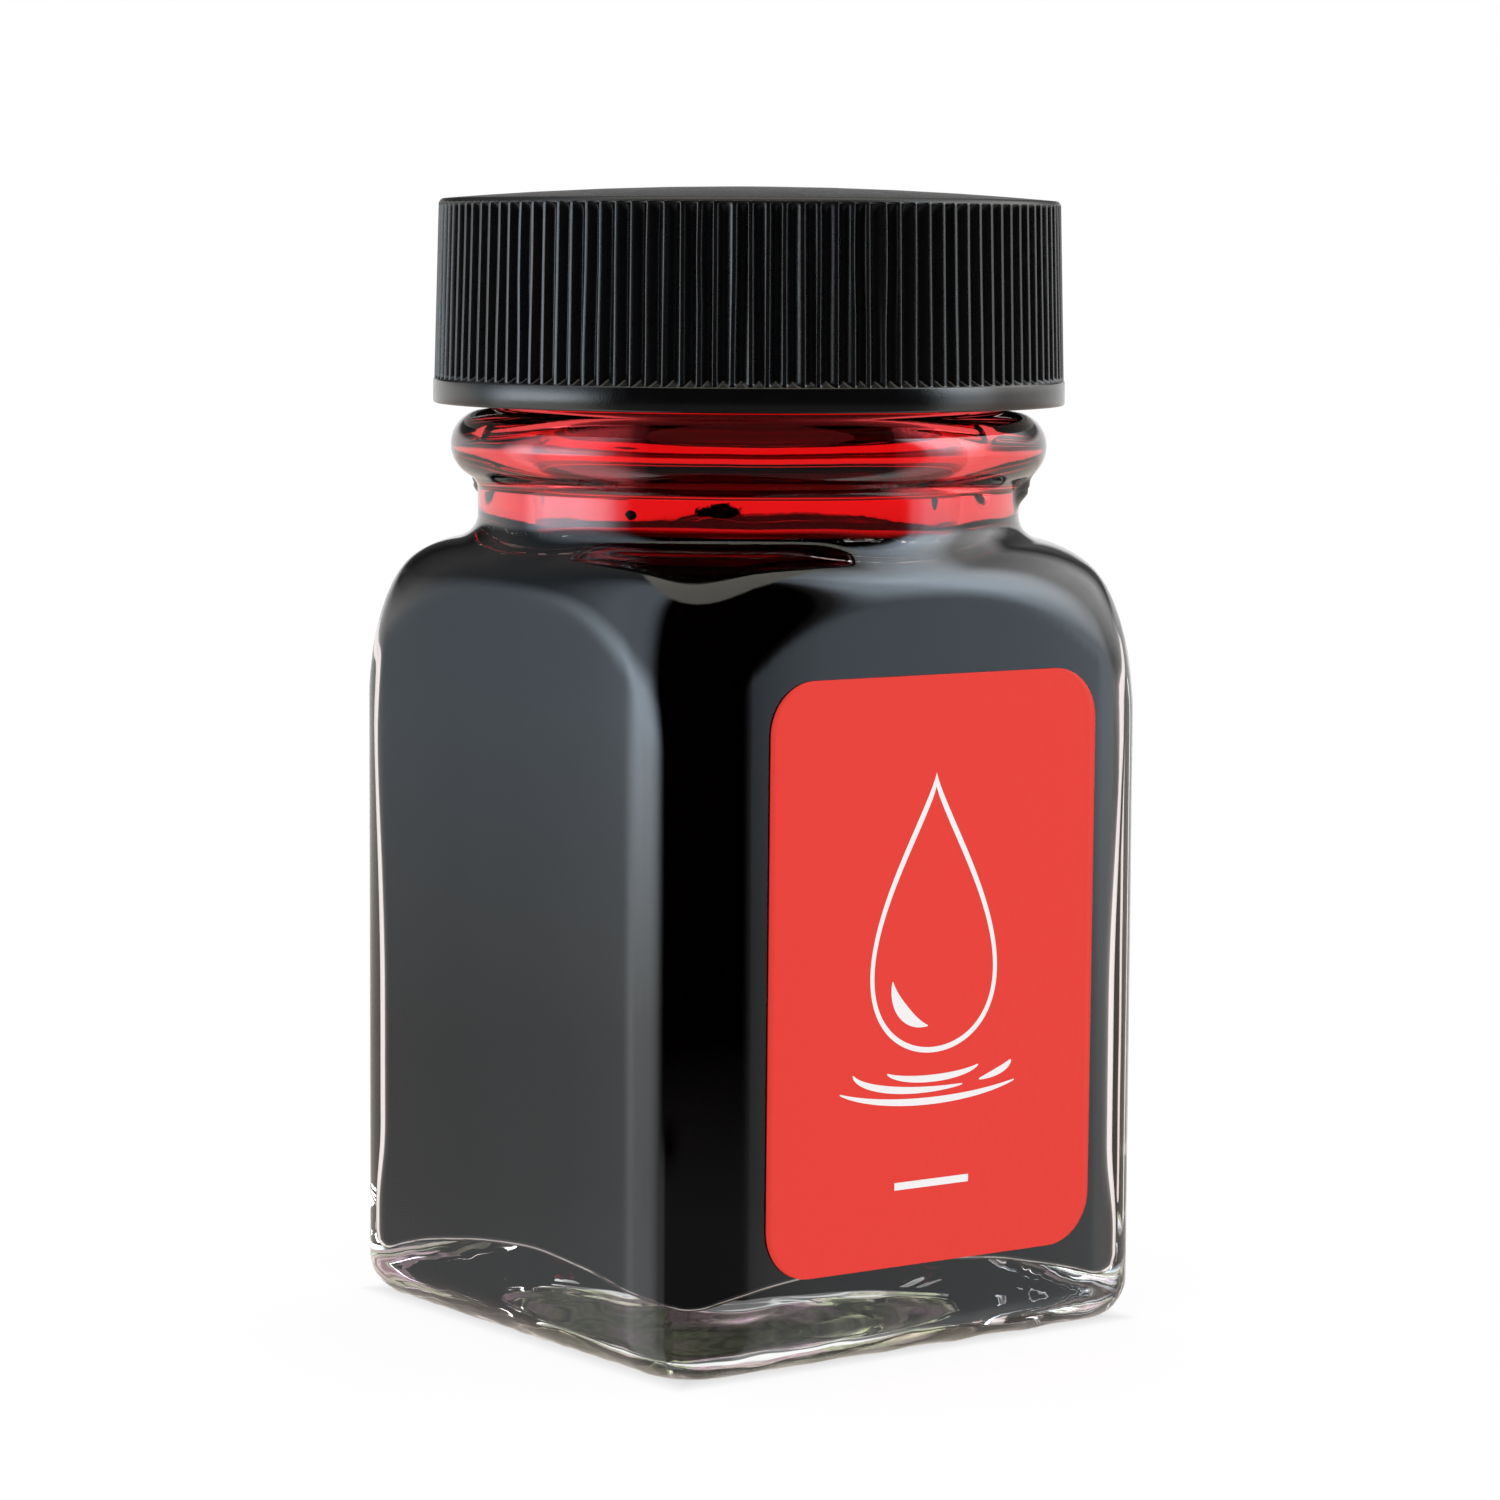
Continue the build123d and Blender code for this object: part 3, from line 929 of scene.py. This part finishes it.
VIEW_AZIMUTH = math.radians(36.19)  # the camera looks this far right of +Y
VIEW_PITCH = math.radians(5.88420)
VIEW_ROLL = math.radians(0.31)
CAMERA_PLACE = Vector((-166.32, -227.62, 61.53)) * MM
LENS = 117.6
SENSOR_WIDTH = 36
WHITE = (1.0, 1.0, 1.0)
HIGH_BACKDROP = (1.75, 1.68, 1.5)
LOW_WARMTH = (1.13, 1.0, 0.89)
BRIGHTEST = 6.0
# Light round the bottle: degrees from behind the camera, positive to its right, brightness, coolness
LIGHT_ROUND = (
    (-180, 1.0, 0),
    (-125, 1.0, 0),
    (-110.5, 0.85, 1),
    (-108.3, 1.2, 1),
    (-103, 2.7, 1),
    (-94, 5.3, 1),
    (-74, 6.0, 1),
    (-63, 4.2, 1),
    (-56, 1.2, 1),
    (-50, 0.0, 0),
    (66, 0.0, 0),
    (69.5, 0.1, 0),
    (71.3, 0.5, 1),
    (72.3, 1.1, 1),
    (73.0, 1.3, 1),
    (76, 1.6, 1),
    (80, 2.6, 1),
    (92, 2.4, 0.5),
    (104, 1.0, 0),
    (180, 1.0, 0),
)
FLOOR_SIDE = 2.5  # half of its width, in metres
FLOOR_DROP = 0.00002  # keeps it just under the bottle


def build_camera():
    camera = bpy.data.cameras.new("camera")
    camera.lens = LENS
    camera.sensor_width = SENSOR_WIDTH
    camera.clip_start = 0.01
    obj = bpy.data.objects.new("camera", camera)
    bpy.context.scene.collection.objects.link(obj)
    forward = Vector(
        (
            math.sin(VIEW_AZIMUTH) * math.cos(VIEW_PITCH),
            math.cos(VIEW_AZIMUTH) * math.cos(VIEW_PITCH),
            -math.sin(VIEW_PITCH),
        )
    )
    level = Vector((math.cos(VIEW_AZIMUTH), -math.sin(VIEW_AZIMUTH), 0))
    upright = level.cross(forward)
    right = level * math.cos(VIEW_ROLL) + upright * math.sin(VIEW_ROLL)
    up = upright * math.cos(VIEW_ROLL) - level * math.sin(VIEW_ROLL)
    turn = Matrix((right, up, -forward)).transposed()
    obj.matrix_world = Matrix.Translation(CAMERA_PLACE) @ turn.to_4x4()
    bpy.context.scene.camera = obj


def build_world():
    """Reflections see soft boxes at the sides and a dark front. All other light is an even white."""
    world = bpy.data.worlds.new("studio")
    bpy.context.scene.world = world
    world.use_nodes = True
    world.cycles.sampling_method = "NONE"
    tree = world.node_tree
    tree.nodes.clear()
    direction = tree.nodes.new("ShaderNodeTexCoord").outputs["Generated"]

    def dot(vector):
        return vector_node(tree, "DOT_PRODUCT", direction, vector).outputs["Value"]

    def calculate(operation, *values):
        return math_node(tree, operation, *values)

    def scaled(colour, factor):
        node = vector_node(tree, "SCALE", colour)
        feed(tree, node.inputs["Scale"], factor)
        return node.outputs["Vector"]

    def dimmed(light, share):
        return calculate("MULTIPLY", light, calculate("SUBTRACT", 1.0, share))

    def between(value, low, high, to_low=0.0, to_high=1.0):
        """Remap the sine of an angle. Its limits are in degrees."""
        low = math.sin(math.radians(low))
        high = math.sin(math.radians(high))
        return remap(tree, value, low, high, to_low, to_high)

    right = dot((math.cos(VIEW_AZIMUTH), -math.sin(VIEW_AZIMUTH), 0))
    back = dot((-math.sin(VIEW_AZIMUTH), -math.cos(VIEW_AZIMUTH), 0))
    height = dot((0, 0, 1))
    round_angle = calculate("ARCTAN2", right, back)
    ramp = tree.nodes.new("ShaderNodeValToRGB")
    place = calculate("MULTIPLY_ADD", round_angle, 1 / (2 * math.pi), 0.5)
    tree.links.new(place, ramp.inputs["Fac"])
    elements = ramp.color_ramp.elements
    elements[0].position = 0.0
    elements[1].position = 1.0
    for degrees, _, _ in LIGHT_ROUND[1:-1]:
        elements.new((degrees + 180) / 360)
    for element, (_, light, cool) in zip(elements, LIGHT_ROUND):
        tint = (1 - 0.15 * cool, 1.0, 1 + 0.15 * cool)
        element.color = (*(light / BRIGHTEST * channel for channel in tint), 1)

    # The left softbox hangs low and the right one high, and the backdrop darkens upwards.
    left = between(right, 0, -25)
    low_box = calculate("MULTIPLY", left, between(height, 3, 14, 0.0, 0.72))
    high_box = calculate("MULTIPLY", between(right, 20, 45), between(height, 2, 18, 0.0, 1.8))
    high_box = calculate("MULTIPLY", high_box, between(height, 55, 32))
    behind = calculate("MULTIPLY", between(back, -35, -55), between(height, 5.5, 9, 0.0, 0.85))
    foot = calculate("MULTIPLY", left, between(back, -14, -6))
    foot = calculate("MULTIPLY", foot, between(height, -5, -9, 0.0, 0.52))
    strength = dimmed(between(height, -11, -5.5, 0.57, 1.0), low_box)
    strength = dimmed(strength, foot)
    strength = calculate("MULTIPLY", strength, calculate("ADD", 1.0, high_box))
    strength = dimmed(strength, behind)
    sides = scaled(scaled(ramp.outputs["Color"], BRIGHTEST), strength)
    # Low down, the table warms and lifts the reflections.
    sides = mix_colour(tree, between(height, -5, -9), sides, LOW_WARMTH, "MULTIPLY")
    table = between(height, -9.3, -11.5, 0.0, 0.16)
    sides = vector_node(tree, "ADD", sides, table).outputs["Vector"]
    seen = mix_colour(tree, between(height, 57, 60), sides, HIGH_BACKDROP)
    glossy = tree.nodes.new("ShaderNodeLightPath").outputs["Is Glossy Ray"]
    colour = mix_colour(tree, calculate("SUBTRACT", 1.0, glossy), seen, WHITE)
    background = tree.nodes.new("ShaderNodeBackground")
    tree.links.new(colour, background.inputs["Color"])
    out = tree.nodes.new("ShaderNodeOutputWorld")
    tree.links.new(background.outputs["Background"], out.inputs["Surface"])


def build_floor():
    """Pale glowing table, which takes only a faint shadow, with a painted shadow under the bottle where
    its glow is turned down.
    """
    mesh = bpy.data.meshes.new("floor")
    signs = ((-1, -1), (1, -1), (1, 1), (-1, 1))
    mesh.from_pydata([(x * FLOOR_SIDE, y * FLOOR_SIDE, 0) for x, y in signs], [], [(0, 1, 2, 3)])
    floor = bpy.data.objects.new("floor", mesh)
    bpy.context.scene.collection.objects.link(floor)
    floor.location.z = -FLOOR_DROP
    floor.visible_glossy = False
    material, tree, shader = new_material("pale_floor")
    shader.inputs["Base Color"].default_value = (0.12, 0.12, 0.12, 1)
    shader.inputs["Roughness"].default_value = 1.0
    shader.inputs["Specular IOR Level"].default_value = 0.0
    shader.inputs["Emission Color"].default_value = (1, 1, 1, 1)
    # Painted shadow: the table glows evenly, but its glow is turned down under the bottle's footprint,
    # where the bottle shuts the light out.
    parts = split(tree, vector_node(tree, "ABSOLUTE", own_place(tree)).outputs["Vector"])
    furthest = math_node(tree, "MAXIMUM", parts["X"], parts["Y"])
    glow = remap(tree, furthest, 11.0 * MM, 16.6 * MM, 0.28, 0.90)
    tree.links.new(glow, shader.inputs["Emission Strength"])
    mesh.materials.append(material)


# ---- put it together -----------------------------------------------------------------------------

build_camera()
build_world()
build_floor()
bpy.context.scene.view_settings.view_transform = "Standard"

clear = glass_material("clear_glass", (0.97, 0.985, 0.978))
film = film_material("ink_wetted_glass", (0.92, 0.075, 0.08))
pieces = (
    (build_glass(clear, film), "bottle", "glass_bottle", "clear_glass"),
    (
        build_ink(
            ink_behind_glass("ink_in_bulk", (0.0016, 0.0004, 0.0005)),
            ink_material("ink_surface", (0.02, 0.0006, 0.0008), 0.5, 0.02),
            ink_underside(),
        ),
        "bottle",
        "ink",
        "ink",
    ),
    (build_label(label_material()), "bottle", "front_label", "label_paper"),
    (build_liner(foam_material()), "liner", "cap_liner", "liner_foam"),
    (build_cap(cap_material()), "cap", "screw_cap", "cap_plastic"),
)
for piece, body, node, slot in pieces:
    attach(piece, body)
    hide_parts(node)
artwork = build_print(print_material())
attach(artwork, "bottle")
